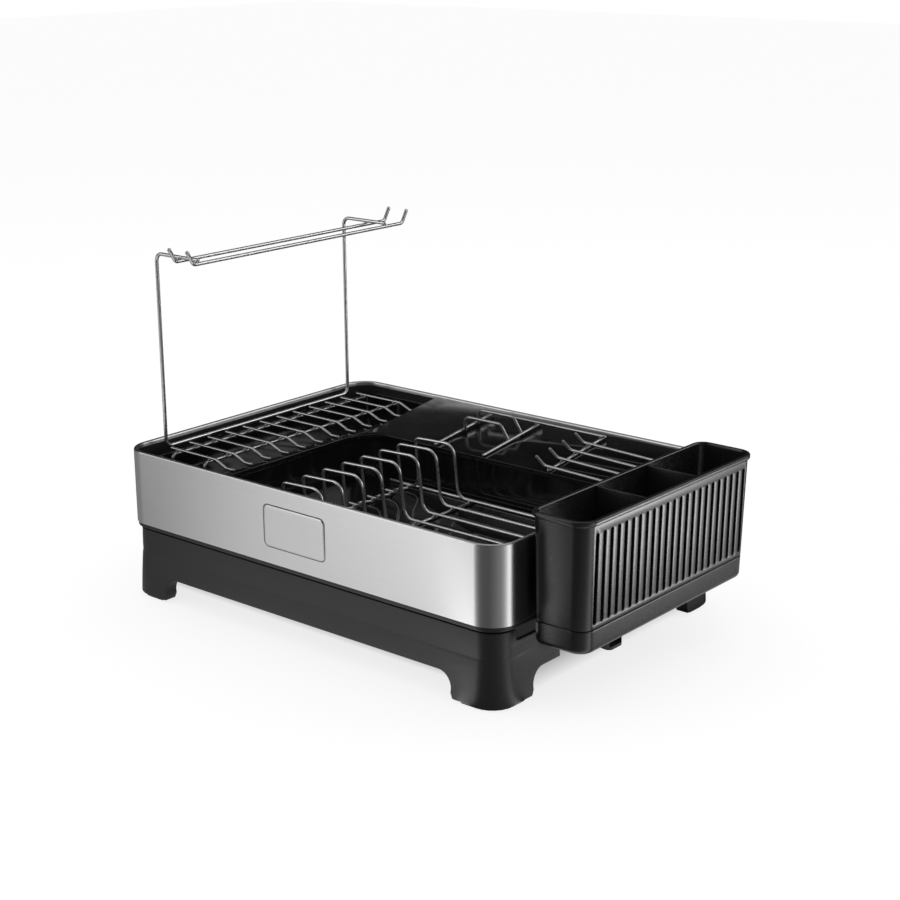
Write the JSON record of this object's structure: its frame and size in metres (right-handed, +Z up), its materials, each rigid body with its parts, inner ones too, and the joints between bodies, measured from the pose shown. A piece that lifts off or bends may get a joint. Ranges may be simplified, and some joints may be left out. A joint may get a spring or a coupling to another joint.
{
  "type": "dish drainer",
  "caption": "Countertop dish drainer: steel-wrapped black body on corner legs, well with wire plate rack, cup and glass shelves, stemware rails, swinging drain spout and hooked cutlery caddy.",
  "frame": {"origin": "bottom centre of the whole drainer's bounding box, on the plane of its rubber pads", "axes": "+X along the front from the stemware end towards the caddy, +Y from the badge side to the back, +Z up"},
  "size_m": [0.5106, 0.334, 0.335],
  "materials": {
    "steel": "satin, fine horizontal brushing",
    "base_plastic": "satin moulded plastic",
    "liner_plastic": "high gloss",
    "caddy_plastic": "satin moulded plastic",
    "chrome": "bright plated wire",
    "rubber": "matte"
  },
  "bodies": {
    "base": {"steel_band": "steel", "badge_plate": "steel", "base_rim": "base_plastic", "base_skirt": "base_plastic", "spout_bracket": "base_plastic", "foot_pad_1": "rubber", "foot_pad_2": "rubber", "foot_pad_3": "rubber", "foot_pad_4": "rubber"},
    "liner": {"drain_tray": "liner_plastic", "glass_shelf": "liner_plastic", "cup_shelf": "liner_plastic", "stemware_clip_1": "liner_plastic", "stemware_clip_2": "liner_plastic"},
    "spout": {"drain_spout": "base_plastic"},
    "stemware_holder": {"stemware_frame": "chrome", "stemware_rail_1": "chrome", "stemware_rail_2": "chrome"},
    "plate_rack": {"plate_loop_1": "chrome", "plate_loop_2": "chrome", "plate_loop_3": "chrome", "plate_loop_4": "chrome", "plate_loop_5": "chrome", "plate_loop_6": "chrome", "plate_loop_7": "chrome", "plate_loop_8": "chrome", "plate_cross_wire_1": "chrome", "plate_cross_wire_2": "chrome", "plate_wavy_wire": "chrome", "plate_back_wire": "chrome"},
    "glass_rest": {"glass_bar_1": "chrome", "glass_bar_2": "chrome", "glass_bar_3": "chrome", "glass_bar_4": "chrome", "glass_bar_5": "chrome", "glass_bar_6": "chrome", "glass_bar_7": "chrome", "glass_bar_8": "chrome", "glass_bar_9": "chrome", "glass_bar_10": "chrome", "glass_bar_11": "chrome", "glass_bar_12": "chrome", "glass_carrier_1": "chrome", "glass_carrier_2": "chrome"},
    "cup_rack": {"cup_runner_1": "chrome", "cup_runner_2": "chrome", "cup_runner_3": "chrome", "cup_tie_wire": "chrome", "cup_peg_1": "chrome", "cup_peg_2": "chrome", "cup_peg_3": "chrome", "cup_peg_4": "chrome", "cup_loop_1": "chrome", "cup_loop_2": "chrome"},
    "drip_cup": {"caddy_drip_cup": "caddy_plastic"},
    "caddy": {"caddy_body": "caddy_plastic", "caddy_divider_1": "caddy_plastic", "caddy_divider_2": "caddy_plastic", "caddy_hook_1": "caddy_plastic", "caddy_hook_2": "caddy_plastic"}
  },
  "joints": [
    {"name": "liner_lift", "type": "slide", "parent": "base", "child": "liner", "axis": [0, 0, 1], "range_m": [0, 0.12]},
    {"name": "spout_swing", "type": "hinge", "parent": "base", "child": "spout", "pos_m": [0.14765, -0.05155, 0.06], "axis": [0, 0, 1], "range_deg": [-16, 16]},
    {"name": "stemware_lift", "type": "slide", "parent": "liner", "child": "stemware_holder", "axis": [0, 0, 1], "range_m": [0, 0.12]},
    {"name": "plate_rack_lift", "type": "slide", "parent": "liner", "child": "plate_rack", "axis": [0, 0, 1], "range_m": [0, 0.1]},
    {"name": "glass_rest_lift", "type": "slide", "parent": "liner", "child": "glass_rest", "axis": [0, 0, 1], "range_m": [0, 0.08]},
    {"name": "cup_rack_lift", "type": "slide", "parent": "liner", "child": "cup_rack", "axis": [0, 0, 1], "range_m": [0, 0.08]},
    {"name": "caddy_lift", "type": "slide", "parent": "base", "child": "drip_cup", "axis": [0, 0, 1], "range_m": [0, 0.12]},
    {"name": "caddy_off_cup", "type": "slide", "parent": "drip_cup", "child": "caddy", "axis": [0, 0, 1], "range_m": [0, 0.05]}
  ]
}
